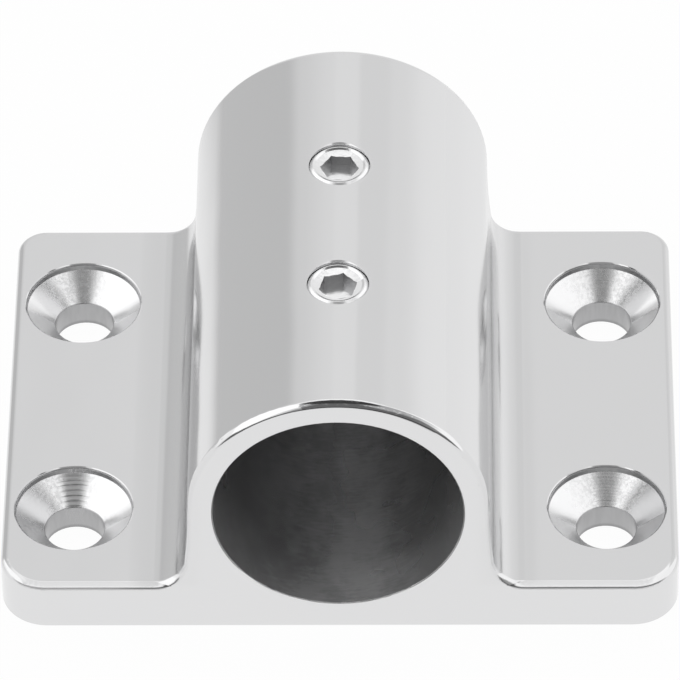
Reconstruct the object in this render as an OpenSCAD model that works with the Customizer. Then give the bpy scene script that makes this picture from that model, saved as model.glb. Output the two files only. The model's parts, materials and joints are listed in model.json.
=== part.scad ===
// Side-mount tube socket with a rectangular base flange.
// One polished stainless casting, clamped on the tube by two hex-socket set screws.
// The origin is the middle of the underside. The mouth of the socket faces -Y.

/* [Tube socket] */
// Outside diameter of the tube that the socket takes
tube_d = 25; // [22:0.5:28]
// Play of the tube in the bore, on the diameter
tube_play = 0.5; // [0.2:0.1:0.9]
// Wall of the barrel round the bore
wall = 2.6; // [2.4:0.1:4]
// Wall under the bore, down to the underside
floor_wall = 3.35; // [2.5:0.05:6]
// Wall that closes the far end of the bore
end_wall = 3; // [2:0.5:8]
// Edge break at the mouth of the bore
mouth_break = 0.1; // [0.1:0.1:0.6]

/* [Flange] */
// Width of the flange, across the barrel
plate_w = 69.6; // [68:0.2:90]
// Length of the flange and of the barrel
plate_l = 54.1; // [50:0.1:80]
// Thickness of the flange
plate_t = 5.8; // [5:0.1:8]
// Corner radius at the mouth end
front_corner_r = 4.8; // [2:0.2:7]
// Corner radius at the closed end
rear_corner_r = 3; // [2:0.2:7]
// Rounding of the outer edges
edge_r = 0.8; // [0.4:0.1:1.2]
// Rounding of the edge round the underside
foot_r = 0.3; // [0.2:0.1:0.4]
// Radius of the fillet between flange and barrel
fillet_r = 3.2; // [2:0.2:4]
// Radius of the slow sweep from the barrel's crown down to that fillet
sweep_r = 65; // [50:5:120]

/* [Fixing holes] */
// Diameter of the four fixing holes
hole_d = 6.2; // [4.5:0.1:6.5]
// Diameter of their countersunk seats
seat_d = 12; // [10:0.2:12.6]
// Depth of the upright rim above each seat
seat_rim = 0.75; // [0.4:0.05:1.2]
// Angle of the seat's cone, across both sides
seat_angle = 103; // [96:1:120]
// Edge break round each seat
seat_break = 0.2; // [0.1:0.05:0.4]
// From the flange's sides to the hole centres
side_inset = 7.3; // [7:0.1:8]
// From the flange's ends to the hole centres
end_inset = 11.5; // [8:0.5:14]

/* [Set screws] */
// Thread size of the set screws
screw_d = 6.35; // [6:0.05:6.5]
// Clearance round each screw in its hole
screw_play = 0.05; // [0.03:0.01:0.1]
// How far the screws sit below the crest
screw_sink = 0.15; // [0.1:0.05:0.2]
// Gap between the screws' tips and the bore
tip_gap = 0.05; // [0:0.05:0.1]
// Lead-in chamfer at the screws' ends
screw_lead = 0.35; // [0.2:0.05:0.5]
// Flat ring between that chamfer and the dish round the socket
dish_rim = 0.1; // [0.05:0.05:0.2]
// Depth of the dish
dish_depth = 0.5; // [0.3:0.05:0.6]
// Angle of the dish's cone, across both sides
dish_angle = 120; // [110:1:130]
// Width of the hex socket across its flats
hex_af = 3.5; // [2.5:0.5:3.5]
// Depth of the hex socket
hex_depth = 1.7; // [1:0.1:1.7]
// Diameter of the cup at each screw's tip
cup_d = 3; // [2:0.5:4]
// Depth of that cup
cup_depth = 0.3; // [0.1:0.1:0.3]
// Edge break at the mouths of the tapped holes
tap_break = 0.15; // [0.1:0.05:0.5]
// From the barrel's mouth to the front screw
screw_inset = 18; // [12:0.5:20]
// From the front screw to the rear one
screw_pitch = 18; // [10:0.5:24]
// Turn of the front screw's socket
front_turn = 15; // [0:1:60]
// Turn of the rear screw's socket
rear_turn = 56; // [0:1:60]

/* [Hidden] */
$fn = 96;
// How far a cutter runs past the face it leaves by
over = 1;
bore_r = (tube_d + tube_play) / 2;
barrel_r = bore_r + wall;
axis_h = floor_wall + bore_r;
crest_h = axis_h + barrel_r;
mouth_y = -plate_l / 2;
// The axis of the sweep beside the barrel, level with the axis of the crown
sweep_x = barrel_r + sweep_r;
// How far the sweep's sector runs on inside the fillet, in degrees
run_on = 1;
// The axis of the fillet, set in by the lap so that fillet and sweep cross and don't just touch
lap = 0.006;
fillet_h = plate_t + fillet_r;
blend = asin((axis_h - fillet_h) / (sweep_r - fillet_r));
fillet_x = floor(1000 * (sweep_x - (sweep_r - fillet_r) * cos(blend))) / 1000 - lap;
// Half width of the block inside the barrel, clear of the rounded ends
core_x = barrel_r - edge_r;
// Reach of the fillet's sector, into that block and into the slab below
root_r = ceil(10 * norm([fillet_x - core_x, fillet_r + edge_r + foot_r])) / 10;
hole_x = plate_w / 2 - side_inset;
hole_y = plate_l / 2 - end_inset;
seat_h = plate_t - seat_rim - (seat_d - hole_d) / 2 / tan(seat_angle / 2);
screw_r = screw_d / 2 - screw_play;
screw_h = wall - screw_sink - tip_gap;
screw_top = crest_h - screw_sink;
dish_r = screw_r - screw_lead - dish_rim;
front_screw_y = mouth_y + screw_inset;
rear_screw_y = front_screw_y + screw_pitch;

// Upper half of a section that runs out to an edge, rounded at its outer corner
module rounded_half(reach, height, r) {
    square([reach - r, height]);
    square([reach, height - r]);
    translate([reach - r, height - r]) intersection() {
        circle(r);
        square(r);
    }
}

// Section from the inside out to an edge, with its own rounding below and above
module edge_section(reach, height, low_r, high_r) {
    translate([0, height / 2]) {
        rounded_half(reach, height / 2, high_r);
        mirror([0, 1]) rounded_half(reach, height / 2, low_r);
    }
}

// Points the extrusion axis along +Y, with the section's X still along X
module along_y() {
    rotate([-90, 0, 0]) children();
}

// Copies its children to the other side of the barrel
module both_sides() {
    children();
    mirror([1, 0, 0]) children();
}

// Round top of the barrel, over its axis
module crown() {
    translate([0, mouth_y, axis_h])
        along_y() rotate([0, 0, 180]) rotate_extrude(angle = 180)
            edge_section(barrel_r, plate_l, edge_r, edge_r);
}

// Section on the inner side of a concave round, from its surface in to a larger radius
module hollow_section(r, root) {
    translate([root, 0]) mirror([1, 0]) edge_section(root - r, plate_l, edge_r, edge_r);
}

// Side of the barrel, a slow concave sweep from the crown down into the fillet
module side() {
    translate([sweep_x, mouth_y, axis_h])
        along_y() mirror([1, 0, 0]) rotate_extrude(angle = blend + run_on)
            hollow_section(sweep_r, sweep_r + 2 * edge_r);
}

// Concave fillet that carries the side's rounded ends out on to the flange
module fillet() {
    translate([fillet_x, mouth_y, fillet_h])
        along_y() rotate([0, 0, 90]) rotate_extrude(angle = 90 - blend)
            hollow_section(fillet_r, root_r);
}

// Block that fills the barrel between its sides
module core() {
    slab_mid = (plate_t - edge_r) / 2;
    translate([-core_x, mouth_y, slab_mid]) cube([2 * core_x, plate_l, axis_h - slab_mid]);
}

// Part of the flange under the barrel, kept below the fillets' rounded ends
module slab() {
    translate([-fillet_x, 0, 0]) rotate([90, 0, 90]) linear_extrude(2 * fillet_x)
        for (end = [0, 1]) mirror([end, 0])
            edge_section(plate_l / 2, plate_t - edge_r, foot_r, foot_r);
}

// Strip along one end of the flange, from the fillet to the corner
module end_strip(corner_r) {
    reach = plate_w / 2 - corner_r - fillet_x;
    translate([fillet_x, plate_l / 2 - corner_r, 0]) rotate([90, 0, 90])
        linear_extrude(reach) edge_section(corner_r, plate_t, foot_r, edge_r);
    translate([fillet_x + reach, plate_l / 2 - corner_r, 0])
        rotate_extrude(angle = 90) edge_section(corner_r, plate_t, foot_r, edge_r);
}

// One side of the flange, with its rounded corners
module wing() {
    length = plate_l - front_corner_r - rear_corner_r;
    end_strip(rear_corner_r);
    mirror([0, 1, 0]) end_strip(front_corner_r);
    translate([fillet_x, plate_l / 2 - rear_corner_r, 0]) rotate([90, 0, 0])
        linear_extrude(length) edge_section(plate_w / 2 - fillet_x, plate_t, foot_r, edge_r);
}

// Blind bore for the tube, with its edge break
module bore() {
    translate([0, mouth_y, axis_h]) along_y() {
        translate([0, 0, -over]) cylinder(h = plate_l - end_wall + over, r = bore_r);
        translate([0, 0, -over])
            cylinder(h = mouth_break + over, r1 = bore_r + mouth_break + over, r2 = bore_r);
    }
}

// Fixing hole with its seat for a countersunk head
module fixing_hole() {
    translate([0, 0, -over]) cylinder(h = plate_t + 2 * over, d = hole_d);
    translate([0, 0, seat_h])
        cylinder(h = plate_t - seat_rim - seat_h, d1 = hole_d, d2 = seat_d);
    translate([0, 0, plate_t - seat_rim]) cylinder(h = seat_rim + over, d = seat_d);
    translate([0, 0, plate_t - seat_break])
        cylinder(h = seat_break + over, d1 = seat_d, d2 = seat_d + 2 * (seat_break + over));
}

// Tapped hole through the crest into the bore
module tapped_hole() {
    translate([0, 0, axis_h]) cylinder(h = barrel_r + over, d = screw_d);
    translate([0, 0, crest_h - tap_break])
        cylinder(h = tap_break + over, d1 = screw_d, d2 = screw_d + 2 * (tap_break + over));
}

module flange_body() {
    color("#c9cacb") difference() {
        union() {
            crown();
            both_sides() {
                side();
                fillet();
                wing();
            }
            core();
            slab();
        }
        bore();
        for (x = [-hole_x, hole_x], y = [-hole_y, hole_y]) translate([x, y, 0]) fixing_hole();
        for (y = [front_screw_y, rear_screw_y]) translate([0, y, 0]) tapped_hole();
    }
}

// Cup-point set screw, standing on its tip at the origin
module set_screw() {
    color("#a9abad") difference() {
        rotate_extrude() polygon([
            [0, 0], [screw_r - screw_lead, 0], [screw_r, screw_lead],
            [screw_r, screw_h - screw_lead], [screw_r - screw_lead, screw_h],
            [dish_r, screw_h], [dish_r - dish_depth * tan(dish_angle / 2), screw_h - dish_depth],
            [0, screw_h - dish_depth]
        ]);
        translate([0, 0, screw_h - hex_depth])
            cylinder(h = hex_depth + over, d = hex_af / cos(30), $fn = 6);
        translate([0, 0, -over])
            cylinder(h = cup_depth + over, d1 = cup_d * (1 + over / cup_depth), d2 = 0);
    }
}

module set_screw_front() {
    translate([0, front_screw_y, screw_top - screw_h]) rotate([0, 0, front_turn]) set_screw();
}

module set_screw_rear() {
    translate([0, rear_screw_y, screw_top - screw_h]) rotate([0, 0, rear_turn]) set_screw();
}

flange_body();
set_screw_front();
set_screw_rear();
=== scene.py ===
import json
import math

import bpy
from mathutils import Matrix, Vector

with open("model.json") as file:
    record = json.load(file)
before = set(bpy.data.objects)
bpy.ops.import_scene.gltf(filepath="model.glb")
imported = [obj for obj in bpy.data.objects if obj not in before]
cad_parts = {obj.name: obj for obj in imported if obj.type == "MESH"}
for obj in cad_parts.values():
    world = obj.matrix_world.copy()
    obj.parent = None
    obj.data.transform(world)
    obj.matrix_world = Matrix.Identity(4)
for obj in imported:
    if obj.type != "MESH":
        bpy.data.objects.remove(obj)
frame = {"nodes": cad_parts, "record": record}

mm = 0.001
white = (1, 1, 1, 1)
toDegrees = 180 / math.pi
edgePlay = 0.02  # how far a mask reaches past the edge that it is for, in millimetres
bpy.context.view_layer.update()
scene = bpy.context.scene
print("frame loaded:", ", ".join(sorted(frame["nodes"])))

# camera, fitted to the flange's outline, the four holes and the mouth
camera = {
    "target": (-0.05 * mm, -0.05 * mm, 14.92 * mm),
    "distance": 0.799,
    "yaw": -1.096,
    "pitch": 43.187,
    "roll": -0.874,
    "lens": 407.4,
    "sensor": 36,
    "clip": (0.05, 20),
}


def placeCamera(spec):
    yaw, pitch, roll = (math.radians(spec[name]) for name in ("yaw", "pitch", "roll"))
    level = math.cos(pitch)
    ahead = Vector((math.sin(yaw) * level, math.cos(yaw) * level, -math.sin(pitch)))
    side = Vector((math.cos(yaw), -math.sin(yaw), 0))
    up = side.cross(ahead)
    right = side * math.cos(roll) + up * math.sin(roll)
    top = up * math.cos(roll) - side * math.sin(roll)
    data = bpy.data.cameras.new("camera")
    data.lens = spec["lens"]
    data.sensor_width = spec["sensor"]
    data.clip_start, data.clip_end = spec["clip"]
    made = bpy.data.objects.new("camera", data)
    turn = Matrix((right, top, -ahead)).transposed().to_4x4()
    made.matrix_world = Matrix.Translation(Vector(spec["target"]) - ahead * spec["distance"]) @ turn
    scene.collection.objects.link(made)
    scene.camera = made


placeCamera(camera)
scene.view_settings.view_transform = "Standard"
print("camera placed")


class Signal:  # one socket of a shader, so that a mask can be written as plain maths
    def __init__(self, tree, socket):
        self.tree = tree
        self.socket = socket

    def maths(self, operation, *others, swapped=False):
        made = self.tree.nodes.new("ShaderNodeMath")
        made.operation = operation
        terms = [self, *others]
        if swapped:
            terms.reverse()
        for slot, term in zip(made.inputs, terms):
            if isinstance(term, Signal):
                self.tree.links.new(term.socket, slot)
            else:
                slot.default_value = term
        return Signal(self.tree, made.outputs[0])

    def __add__(self, other):
        return self.maths("ADD", other)

    def __sub__(self, other):
        return self.maths("SUBTRACT", other)

    def __rsub__(self, other):
        return self.maths("SUBTRACT", other, swapped=True)

    def __mul__(self, other):
        return self.maths("MULTIPLY", other)

    def __truediv__(self, other):
        return self.maths("DIVIDE", other)

    def __rtruediv__(self, other):
        return self.maths("DIVIDE", other, swapped=True)

    def __pow__(self, other):
        return self.maths("POWER", other)

    def __abs__(self):
        return self.maths("ABSOLUTE")

    __radd__ = __add__
    __rmul__ = __mul__


class Shader:  # the nodes of one finish, or of the studio
    def __init__(self, tree):
        self.tree = tree
        tree.nodes.clear()

    def add(self, kind, settings, sockets, out=0):
        made = self.tree.nodes.new("ShaderNode" + kind)
        for name, value in settings.items():
            setattr(made, name, value)
        for name, value in sockets.items():
            if isinstance(value, Signal):
                self.tree.links.new(value.socket, made.inputs[name])
            else:
                made.inputs[name].default_value = value
        return Signal(self.tree, made.outputs[out]) if made.outputs else None

    def split(self, vector):
        return [self.add("SeparateXYZ", {}, {0: vector}, out) for out in range(3)]

    def place(self):  # where a point is on the part, in millimetres
        spot = self.add("TexCoord", {}, {}, "Object")
        return self.add("VectorMath", {"operation": "SCALE"}, {0: spot, "Scale": 1 / mm})

    def ease(self, value, low, high):  # 0 up to low, 1 from high on, with a smooth step between
        return self.add("MapRange", {"interpolation_type": "SMOOTHSTEP"},
                        {"Value": value, "From Min": low, "From Max": high})

    def within(self, value, edge, fade=0.1):  # 1 up to just past an edge, 0 from a fade further on
        return self.ease(value, edge + edgePlay + fade, edge + edgePlay)

    def noise(self, place, stretch, detail=2.0, rough=0.5):  # cloudy, 0 to 1, about 0.5
        where = self.add("VectorMath", {"operation": "MULTIPLY"}, {0: place, 1: stretch})
        return self.add("TexNoise", {},
                        {"Vector": where, "Scale": 1.0, "Detail": detail, "Roughness": rough})

    def lines(self, along, detail=1.0):  # the same, along one measure only
        return self.add("TexNoise", {"noise_dimensions": "1D"},
                        {"W": along, "Scale": 1.0, "Detail": detail})

    def blend(self, share, first, second):
        return self.add("Mix", {"data_type": "RGBA"}, {0: share, 6: first, 7: second}, 2)

    def distance(self, first, second):
        return (first * first + second * second) ** 0.5

    def relief(self, height):  # bump from a height in hundredths of a millimetre
        return self.add("Bump", {}, {"Height": height, "Distance": 0.01 * mm, "Strength": 1.0})


def newFinish(name):
    made = bpy.data.materials.new(name)
    made.use_nodes = True
    return made, Shader(made.node_tree)


def wear(node, finish):
    node.data.materials.clear()
    node.data.materials.append(finish)


# studio: a pale room with soft boxes on both sides, a dark ceiling, and a dark place where the
# camera stands; angles are degrees, turn from straight behind the part round to its right, rise
# from level
studio = {
    "wall": 0.9,
    "panels": [
        # top of the backdrop, a light strip on it, and the shade beside that
        {"turn": 0, "halfTurn": 60, "rise": 54, "halfRise": 4.5, "soft": 3, "level": 1.3},
        {"turn": 4, "halfTurn": 7, "rise": 38, "halfRise": 8, "soft": 3, "level": 0.935},
        {"turn": 21, "halfTurn": 6, "rise": 36, "halfRise": 8, "soft": 4, "level": 0.86},
        # corner behind on the left, the grey screen in it, and the wall on the right
        {"turn": -56, "halfTurn": 26, "rise": 10, "halfRise": 28, "soft": 24, "level": 0.8},
        {"turn": -58, "halfTurn": 26, "rise": 0, "halfRise": 34, "soft": 6, "level": 0.66},
        {"turn": 66, "halfTurn": 20, "rise": 0, "halfRise": 14, "soft": 16, "level": 1.02},
        # soft box on the left, a light below it, soft box on the right, and its upper wing
        {"turn": -97, "halfTurn": 45, "rise": 38, "halfRise": 24, "soft": 4, "level": 1.4},
        {"turn": -76, "halfTurn": 20, "rise": 8, "halfRise": 6, "soft": 5, "level": 1.15},
        {"turn": 82, "halfTurn": 28, "rise": 24, "halfRise": 26, "soft": 6, "level": 1.25},
        {"turn": 105, "halfTurn": 48, "rise": 53, "halfRise": 8, "soft": 4, "level": 1.25},
        # room in front on the right, the camera's side, and the dark gap above the table
        {"turn": 130, "halfTurn": 22, "rise": 16, "halfRise": 16, "soft": 6, "level": 0.4},
        {"turn": 178, "halfTurn": 24, "rise": 32, "halfRise": 30, "soft": 5, "level": 0.4},
        {"turn": 180, "halfTurn": 66, "rise": 6, "halfRise": 5, "soft": 4, "level": 0.15},
        # ceiling, and the top of the left soft box in front of it
        {"turn": 0, "halfTurn": 180, "rise": 90, "halfRise": 26, "soft": 5, "level": 0.14},
        {"turn": -100, "halfTurn": 32, "rise": 58, "halfRise": 8, "soft": 3, "level": 1.4},
    ],
}
# floor, with its half width in metres; glow is the share of plain white that the camera and mirror
# surfaces see in it
table = {"half": 1.5, "colour": (0.92, 0.92, 0.92, 1), "glow": 0.97, "drop": 0.02 * mm}
# grey sheet glowing on the floor behind on the left, which only mirror surfaces see: a painted
# reflection of a darker stretch of floor there; its reach is in metres, and it fades in between
# start and full, which are millimetres from the part's middle
sheet = {"reach": 2.2, "turn": -50, "halfTurn": 34, "soft": 10, "start": 48, "full": 130,
         "level": 0.66, "lift": 0.2 * mm, "steps": 12}


def buildStudio(spec):
    world = bpy.data.worlds.new("studio")
    scene.world = world
    world.use_nodes = True
    shader = Shader(world.node_tree)
    x, y, z = shader.split(shader.add("TexCoord", {}, {}, "Generated"))
    turn = x.maths("ARCTAN2", y) * toDegrees
    rise = z.maths("ARCSINE") * toDegrees
    level = spec["wall"]
    for panel in spec["panels"]:
        aside = abs((turn - panel["turn"]).maths("WRAP", 180, -180))
        above = abs(rise - panel["rise"])
        share = shader.ease(aside, panel["halfTurn"] + panel["soft"], panel["halfTurn"]) \
            * shader.ease(above, panel["halfRise"] + panel["soft"], panel["halfRise"])
        level = level * (1 - share) + panel["level"] * share
    back = shader.add("Background", {}, {"Color": level, "Strength": 1.0})
    shader.add("OutputWorld", {}, {"Surface": back})


def buildFloor(spec):
    half, height = spec["half"], -spec["drop"]
    mesh = bpy.data.meshes.new("floor")
    corners = [(-half, -half, height), (half, -half, height),
               (half, half, height), (-half, half, height)]
    mesh.from_pydata(corners, [], [(0, 1, 2, 3)])
    floor = bpy.data.objects.new("floor", mesh)
    scene.collection.objects.link(floor)
    finish, shader = newFinish("pale floor")
    plain = shader.add("BsdfDiffuse", {}, {"Color": spec["colour"]})
    glow = shader.add("Emission", {}, {"Color": white, "Strength": 1.0})
    rays = ("Is Camera Ray", "Is Glossy Ray", "Is Transmission Ray")
    seen, mirrored, refracted = (shader.add("LightPath", {}, {}, out) for out in rays)
    share = spec["glow"] * (seen + mirrored + refracted)
    both = shader.add("MixShader", {}, {0: share, 1: plain, 2: glow})
    shader.add("OutputMaterial", {}, {"Surface": both})
    wear(floor, finish)


# painted reflection: a grey glow lying on the floor that only mirror surfaces see
def buildSheet(spec):
    steps = spec["steps"]
    reach, lift = spec["reach"], spec["lift"]
    turns = [math.radians(spec["turn"] + spec["halfTurn"] * (2 * i / steps - 1))
             for i in range(steps + 1)]
    ring = [(math.sin(turn) * reach, math.cos(turn) * reach, lift) for turn in turns]
    mesh = bpy.data.meshes.new("grey_sheet")
    mesh.from_pydata([(0, 0, lift)] + ring, [], [(0, i + 2, i + 1) for i in range(steps)])
    made = bpy.data.objects.new("grey_sheet", mesh)
    scene.collection.objects.link(made)
    made.visible_camera = made.visible_diffuse = made.visible_shadow = False
    finish, shader = newFinish("grey_sheet")
    x, y, z = shader.split(shader.place())
    turn = math.radians(spec["turn"])
    ahead = x * math.sin(turn) + y * math.cos(turn)
    aside = abs(x * math.cos(turn) - y * math.sin(turn))
    angle = aside.maths("ARCTAN2", ahead) * toDegrees
    share = shader.ease(shader.distance(x, y), spec["start"], spec["full"]) \
        * shader.ease(angle, spec["halfTurn"], spec["halfTurn"] - spec["soft"])
    # the painted reflection glows at this grey level
    grey = shader.add("Emission", {}, {"Color": white, "Strength": spec["level"]})
    clear = shader.add("BsdfTransparent", {}, {})
    both = shader.add("MixShader", {}, {0: share, 1: clear, 2: grey})
    shader.add("OutputMaterial", {}, {"Surface": both})
    wear(made, finish)


buildStudio(studio)
buildFloor(table)
buildSheet(sheet)
print("studio and floor built")

mounts = {mount["name"]: mount for mount in frame["record"]["mounts"]}
bolts, socket = mounts["base_bolts"]["dims"], mounts["tube_socket"]
# the two tapped holes along the barrel, in millimetres
tapped = {"middle": -0.05, "halfPitch": 9.0}


def fromTap(shader, x, y):  # how far a point lies from the axis of the nearer tapped hole
    return shader.distance(x, abs(y - tapped["middle"]) - tapped["halfPitch"])


# the casting's finish; lengths are in millimetres, heights of its relief in hundredths of one, and
# a pair gives where a mask is 0 and where it is 1
polished = {
    # where the part's own places are
    "frontHalf": (1, -1),
    "leftHalf": (1, -1),
    "holeX": bolts["spacing_x_mm"] / 2,
    "holeY": bolts["spacing_y_mm"] / 2,
    "holeRadius": bolts["hole_r_mm"],
    "holeFade": 0.08,
    "boreCentre": socket["pos_m"][2] / mm,
    "boreRadius": socket["dims"]["r_mm"],
    "boreEnd": (25.55, 25.05),
    "seatRadius": 6.0,
    "seatTop": (5.8, 5.6),
    "seatRimSide": (5.88, 5.96),
    "seatRimFoot": (5.0, 5.1),
    "plateTop": 5.8,
    "halfWidth": 34.8,
    "halfLength": 27.05,
    "frontCorner": 4.8,
    "rearCorner": 3.0,
    "tapSide": (3.7, 3.4),
    "tapFoot": (30.45, 30.95),
    "filletInner": (13.5, 15),
    "filletOuter": (19.4, 18.2),
    "filletTop": (24, 20),
    "filletFoot": (5.75, 6.1),
    # tones
    "barrelTone": (0.725, 0.725, 0.73, 1),
    "barrelFoot": (5.9, 8.8),
    "plateTone": (0.685, 0.685, 0.69, 1),
    "frontTone": (0.745, 0.745, 0.75, 1),
    "frontFace": (0.15, 0.03),
    "filletTone": (0.72, 0.72, 0.725, 1),
    "seatTone": (0.78, 0.78, 0.785, 1),
    # painted shade on the seats' rim walls
    "seatRimTone": (0.5, 0.5, 0.505, 1),
    # painted shade: the holes' walls darker, and darker still towards their foot
    "holeTone": (0.44, 0.44, 0.445, 1),
    "holeDark": (0.34, 0.34, 0.345, 1),
    "holeFoot": (0.5, 0.2),
    "boreTone": (0.8, 0.8, 0.805, 1),
    # the darker tone, for random mottling and for painted shade towards the bore's sides
    "boreDark": (0.56, 0.56, 0.565, 1),
    "boreClear": (0.36, 0.62),
    "boreMiddle": (12, 5),
    "cloudShare": 0.7,
    # turned rings in the seats: coarse in the front left one, fine in the front right one, faint
    # in those at the back; pitch and wave are how fast they follow each other
    "coarse": {"pitch": 4.5, "height": 1.2, "wave": 14.5, "waveHeight": 0.42},
    "fine": {"pitch": 8, "height": 0.5, "wave": 23.3, "waveHeight": 0.16},
    "faint": {"pitch": 5, "height": 0.25, "detail": 2.0},
    "ringShiftX": 3.7,
    "ringShiftY": 7.9,
    "ringLeast": 0.12,
    "coarseSide": (0.9, 0.985),
    "fineSide": (0.8, 0.95),
    "nearSide": (0.15, -0.25),
    "frostSide": (0.3, 0.8),
    "frostPatch": (0.35, 0.65),
    "frost": ((3.0, 3.0, 0.4), 3.0, 0.6),
    "scratch": {"pitch": 6, "height": 0.8, "detail": 2.0},
    # marks in the bore; each cloud has its fineness along x, y and z, its detail and its roughness
    "drift": ((0.12, 0.5, 0.12),),
    "cloud": ((0.22, 0.16, 0.22), 4.0, 0.6),
    "grain": ((0.9, 3.5, 0.9), 3.0, 0.6),
    "boreLines": {"pitch": 5, "sway": 1.5, "height": 1.1, "grain": 0.9, "detail": 3.0},
    "streak": {"at": 3.7, "sway": 3, "side": (6.5, 0.5)},
    "mouth": (-18, -27),
    # hand buffing, with the dish in the flange beside the fillets and the barrel's fuller flanks
    "wave": ((0.1, 0.07, 0.1), 1.0),
    "waveHeight": 9,
    "hairs": ((0.7, 26.0, 0.7),),
    "hairHeight": 0.05,
    "smudge": ((0.06, 0.06, 0.06), 3.0),
    "dish": (21.6, 17.2),
    "dishDepth": 33,
    "flank": (24.0, 15.5),
    "flankSwell": 64,
    # upper edge of the flange, crisper than the barrel's
    "crispFill": 95,
    "crispRise": 70,
    "crispFace": (0.02, 0.165),
    "crispTop": (0.86, 0.8),
    "crispFoot": (3.0, 4.0),
    "crispCorner": (33.6, 31.6),
    # painted dark reflection: a thin dark line along its front, fainter towards the left
    "lineTone": (0.16, 0.16, 0.165, 1),
    "lineShare": 0.85,
    "lineFade": 0.4,
    "lineFaded": (-20, -24),
    "lineOuter": (0.06, 0.09),
    "lineInner": (0.16, 0.13),
    "lineCorner": (33.6, 32.6),
    "lineFoot": (5.15, 5.25),
    "lineTop": (5.75, 5.7),
    # ragged dark patch on the upper rim of the mouth
    "smearTone": (0.3, 0.3, 0.305, 1),
    "smearRagged": ((1.6, 5.0, 5.0), 4.0, 0.7),
    "smearLeft": (-3.0, -2.6),
    "leftSway": 1.6,
    "smearRight": (14, 8),
    "rightSway": 3,
    "smearFoot": (27, 28),
    "smearInset": 0.33,
    "smearWidth": (0.3, 0.22),
    "smearPatch": (0.2, 0.5),
    # roughness
    "gloss": 0.07,
    "smudgeRough": 0.04,
    "seatRough": 0.12,
    "nearRough": 0.16,
    "frostRough": 0.1,
    "coarseGloss": 0.06,
    "holeRough": 0.1,
    "filletRough": 0.1,
    "boreRough": 0.18,
    "tapRough": 0.1,
    # dull film in the bore, as the share that isn't metal
    "boreFilm": 0.18,
    "streakFilm": 0.14,
    "mouthFilm": 0.1,
}


class Spot:  # where a point lies on the casting, and masks of the places with their own finish
    def __init__(self, shader, spec):
        self.place = shader.place()
        self.x, self.y, self.z = shader.split(self.place)
        self.aside = abs(self.x)
        self.front = shader.ease(self.y, *spec["frontHalf"])
        self.left = shader.ease(self.x, *spec["leftHalf"])
        self.inward = self.fromEdge(shader, spec)
        self.holeRadius = shader.distance(self.aside - spec["holeX"], abs(self.y) - spec["holeY"])
        self.hole = shader.within(self.holeRadius, spec["holeRadius"], spec["holeFade"])
        self.seat = shader.within(self.holeRadius, spec["seatRadius"]) \
            * shader.ease(self.z, *spec["seatTop"])
        self.seatRim = self.seat * shader.ease(self.holeRadius, *spec["seatRimSide"]) \
            * shader.ease(self.z, *spec["seatRimFoot"])
        boreRadius = shader.distance(self.x, self.z - spec["boreCentre"])
        self.bore = shader.within(boreRadius, spec["boreRadius"]) \
            * shader.ease(self.y, *spec["boreEnd"])
        self.fillet = shader.ease(self.aside, *spec["filletInner"]) \
            * shader.ease(self.aside, *spec["filletOuter"]) \
            * shader.ease(self.z, *spec["filletTop"]) * shader.ease(self.z, *spec["filletFoot"])
        self.tap = shader.ease(fromTap(shader, self.x, self.y), *spec["tapSide"]) \
            * shader.ease(self.z, *spec["tapFoot"])
        # how far round its seat a point lies, from 1 straight behind the hole to -1 in front of it
        self.ahead = (abs(self.y) - spec["holeY"]) * self.y.maths("SIGN") / self.holeRadius
        self.farSide = self.left * shader.ease(self.ahead, *spec["coarseSide"]) \
            + (1 - self.left) * shader.ease(self.ahead, *spec["fineSide"])
        self.drift = shader.noise(self.place, *spec["drift"])
        self.grain = shader.noise(self.place, *spec["grain"])

    def fromEdge(self, shader, spec):  # how far the point lies inside the flange's outline
        corner = spec["rearCorner"] + (spec["frontCorner"] - spec["rearCorner"]) * self.front
        across = self.aside - spec["halfWidth"] + corner
        along = abs(self.y) - spec["halfLength"] + corner
        outside = shader.distance(across.maths("MAXIMUM", 0), along.maths("MAXIMUM", 0))
        inside = across.maths("MAXIMUM", along).maths("MINIMUM", 0)
        return corner - outside - inside


def ringLines(shader, spec, radius, shift):
    uneven = shader.lines(radius * spec["pitch"] + shift) * spec["height"]
    return uneven + (radius * spec["wave"]).maths("SINE") * spec["waveHeight"]


def plainLines(shader, spec, along):
    return shader.lines(along, spec["detail"]) * spec["height"]


# rings in the seats, which differ from seat to seat by the shift, scratches in the holes, and
# turning marks in the bore
def turnedRelief(shader, spec, spot):
    shift = spot.x.maths("SIGN") * spec["ringShiftX"] + spot.y.maths("SIGN") * spec["ringShiftY"]
    coarse = ringLines(shader, spec["coarse"], spot.holeRadius, shift)
    fine = ringLines(shader, spec["fine"], spot.holeRadius, shift)
    faint = plainLines(shader, spec["faint"], spot.holeRadius * spec["faint"]["pitch"] + shift)
    near = spot.left * coarse + (1 - spot.left) * fine
    share = spec["ringLeast"] + (1 - spec["ringLeast"]) * spot.farSide
    rings = (spot.front * near + (1 - spot.front) * faint) * spot.seat * share
    scratches = plainLines(shader, spec["scratch"], spot.z * spec["scratch"]["pitch"] + shift)
    marks = spec["boreLines"]
    turned = plainLines(shader, marks, spot.y * marks["pitch"] + spot.drift * marks["sway"])
    return rings + scratches * spot.hole + (turned + spot.grain * marks["grain"]) * spot.bore


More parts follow.
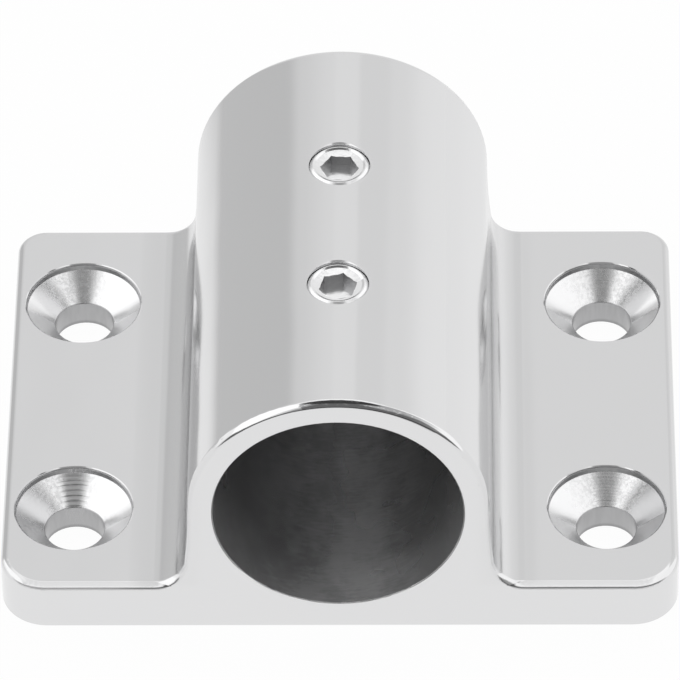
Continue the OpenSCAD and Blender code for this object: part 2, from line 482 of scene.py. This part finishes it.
# soft waves, hairlines that run round the barrel, the flange's crisp upper edge, the dish in the
# flange beside the fillets, and the barrel's flanks, which are fuller under the crown
def buffedRelief(shader, spec, spot):
    plain = (1 - spot.seat) * (1 - spot.bore)
    wave = shader.noise(spot.place, *spec["wave"]) * spec["waveHeight"]
    hairs = shader.noise(spot.place, *spec["hairs"]) * spec["hairHeight"]
    below = (spec["plateTop"] - spot.z).maths("MAXIMUM", 0)
    crisp = below * (spec["crispFill"] + spec["crispRise"] * below) \
        * shader.ease(spot.inward, *spec["crispFace"]) \
        * shader.ease(spot.inward, *spec["crispTop"]) \
        * shader.ease(spot.z, *spec["crispFoot"]) * (1 - spot.bore) \
        * shader.ease(spot.aside, *spec["crispCorner"])
    dish = shader.ease(spot.aside, *spec["dish"]) * spec["dishDepth"]
    flank = shader.ease(spot.z, *spec["flank"]) * spec["flankSwell"]
    return (wave + hairs) * plain + crisp + dish + flank


def castingTone(shader, spec, spot):
    barrel = shader.ease(spot.z, *spec["barrelFoot"])
    tone = shader.blend(barrel, spec["plateTone"], spec["barrelTone"])
    tone = shader.blend(spot.fillet, tone, spec["filletTone"])
    tone = shader.blend(shader.ease(spot.inward, *spec["frontFace"]), tone, spec["frontTone"])
    tone = shader.blend(spot.seat, tone, spec["seatTone"])
    tone = shader.blend(spot.bore, tone, boreTone(shader, spec, spot))
    # painted shade darkens the holes' walls, more so towards their foot
    tone = shader.blend(spot.hole, tone, spec["holeTone"])
    tone = shader.blend(spot.hole * shader.ease(spot.z, *spec["holeFoot"]), tone, spec["holeDark"])
    # painted shade darkens the seats' rim walls
    tone = shader.blend(spot.seatRim, tone, spec["seatRimTone"])
    tone = shader.blend(mouthDarkPatch(shader, spec, spot), tone, spec["smearTone"])
    # painted dark reflection along the flange's front edge
    return shader.blend(frontDarkReflection(shader, spec, spot), tone, spec["lineTone"])


def boreTone(shader, spec, spot):  # random clearer patches along the middle of a darker wall, whose sides are painted shade
    cloud = shader.noise(spot.place, *spec["cloud"])
    mixed = cloud * spec["cloudShare"] + spot.grain * (1 - spec["cloudShare"])
    clear = shader.ease(mixed, *spec["boreClear"]) * shader.ease(spot.aside, *spec["boreMiddle"])
    return shader.blend(clear, spec["boreDark"], spec["boreTone"])


# darker in a ragged patch on the mouth's upper rim
def mouthDarkPatch(shader, spec, spot):
    ragged = shader.noise(spot.place, *spec["smearRagged"])
    fromMiddle = abs(spot.y + spec["halfLength"] - spec["smearInset"])
    return shader.ease(spot.x + ragged * spec["leftSway"], *spec["smearLeft"]) \
        * shader.ease(spot.x + ragged * spec["rightSway"], *spec["smearRight"]) \
        * shader.ease(spot.z, *spec["smearFoot"]) * shader.ease(fromMiddle, *spec["smearWidth"]) \
        * shader.ease(ragged, *spec["smearPatch"])


# painted dark reflection along the flange's front edge
def frontDarkReflection(shader, spec, spot):
    faded = spec["lineFade"] * spot.left * shader.ease(spot.x, *spec["lineFaded"])
    return shader.ease(spot.inward, *spec["lineOuter"]) \
        * shader.ease(spot.inward, *spec["lineInner"]) \
        * spot.front * shader.ease(spot.aside, *spec["lineCorner"]) \
        * shader.ease(spot.z, *spec["lineFoot"]) * shader.ease(spot.z, *spec["lineTop"]) \
        * (spec["lineShare"] - faded)


def castingRoughness(shader, spec, spot):
    frost = shader.ease(shader.noise(spot.place, *spec["frost"]), *spec["frostPatch"]) \
        * shader.ease(spot.ahead, *spec["frostSide"])
    seat = spec["seatRough"] + spec["frostRough"] * frost \
        + spec["nearRough"] * shader.ease(spot.ahead, *spec["nearSide"]) \
        - spec["coarseGloss"] * spot.front * spot.left * spot.farSide
    smudge = shader.noise(spot.place, *spec["smudge"])
    return spec["gloss"] + spec["smudgeRough"] * smudge + seat * spot.seat \
        + spec["boreRough"] * spot.bore + spec["holeRough"] * (spot.hole + spot.seatRim) \
        + spec["filletRough"] * spot.fillet + spec["tapRough"] * spot.tap


def boreFilm(shader, spec, spot):
    streak = spec["streak"]
    across = abs(spot.x - streak["at"] + spot.drift * streak["sway"])
    film = spec["boreFilm"] + spec["streakFilm"] * shader.ease(across, *streak["side"]) \
        + spec["mouthFilm"] * shader.ease(spot.y, *spec["mouth"])
    return film * spot.bore


def makePolished(spec):
    finish, shader = newFinish("polished_stainless")
    spot = Spot(shader, spec)
    relief = turnedRelief(shader, spec, spot) + buffedRelief(shader, spec, spot)
    metal = shader.add("BsdfPrincipled", {}, {
        "Base Color": castingTone(shader, spec, spot),
        "Metallic": 1 - boreFilm(shader, spec, spot),
        "Roughness": castingRoughness(shader, spec, spot),
        "Normal": shader.relief(relief),
    })
    shader.add("OutputMaterial", {}, {"Surface": metal})
    return finish


wear(frame["nodes"]["flange_body"], makePolished(polished))
print("flange finished")

# the set screws' finish, in the same units
screwSteel = {
    "colour": (0.82, 0.82, 0.825, 1),
    # painted shade on the socket's walls and painted light on its floor, so that it looks deeper
    "socketTone": (0.4, 0.4, 0.405, 1),
    "socketWall": (0.3, 0.15),
    "socketRough": 0.3,
    "floorTone": (0.9, 0.9, 0.905, 1),
    "floor": (29.75, 29.65),
    "roughness": 0.15,
    "cloud": ((1.5, 1.5, 1.5),),
    "cloudRough": 0.06,
    "cloudHeight": 2,
    "rim": (2.7, 2.8),
    "rimRough": 0.08,
    "dishRadius": 2.45,
    "dishSlope": 57.7,
}


def makeScrewSteel(spec):
    finish, shader = newFinish("screw_stainless")
    place = shader.place()
    x, y, z = shader.split(place)
    upright = shader.split(shader.add("TexCoord", {}, {}, "Normal"))[2]
    wall = shader.ease(abs(upright), *spec["socketWall"])
    floor = shader.ease(z, *spec["floor"])
    cloud = shader.noise(place, *spec["cloud"])
    radius = fromTap(shader, x, y)
    # the dish round the socket looks flatter than it is, by a cone that rises towards the middle
    cone = radius.maths("MINIMUM", spec["dishRadius"]) * spec["dishSlope"]
    # painted light and shade in the socket: its floor lighter, its walls darker
    tone = shader.blend(floor, spec["colour"], spec["floorTone"])
    metal = shader.add("BsdfPrincipled", {}, {
        "Base Color": shader.blend(wall, tone, spec["socketTone"]),
        "Metallic": 1.0,
        "Roughness": spec["roughness"] + spec["cloudRough"] * cloud + spec["socketRough"] * wall
        + spec["rimRough"] * shader.ease(radius, *spec["rim"]),
        "Normal": shader.relief(cloud * spec["cloudHeight"] - cone * (1 - wall) * (1 - floor)),
    })
    shader.add("OutputMaterial", {}, {"Surface": metal})
    return finish


screwFinish = makeScrewSteel(screwSteel)
for name in ("set_screw_front", "set_screw_rear"):
    wear(frame["nodes"][name], screwFinish)
print("set screws finished")
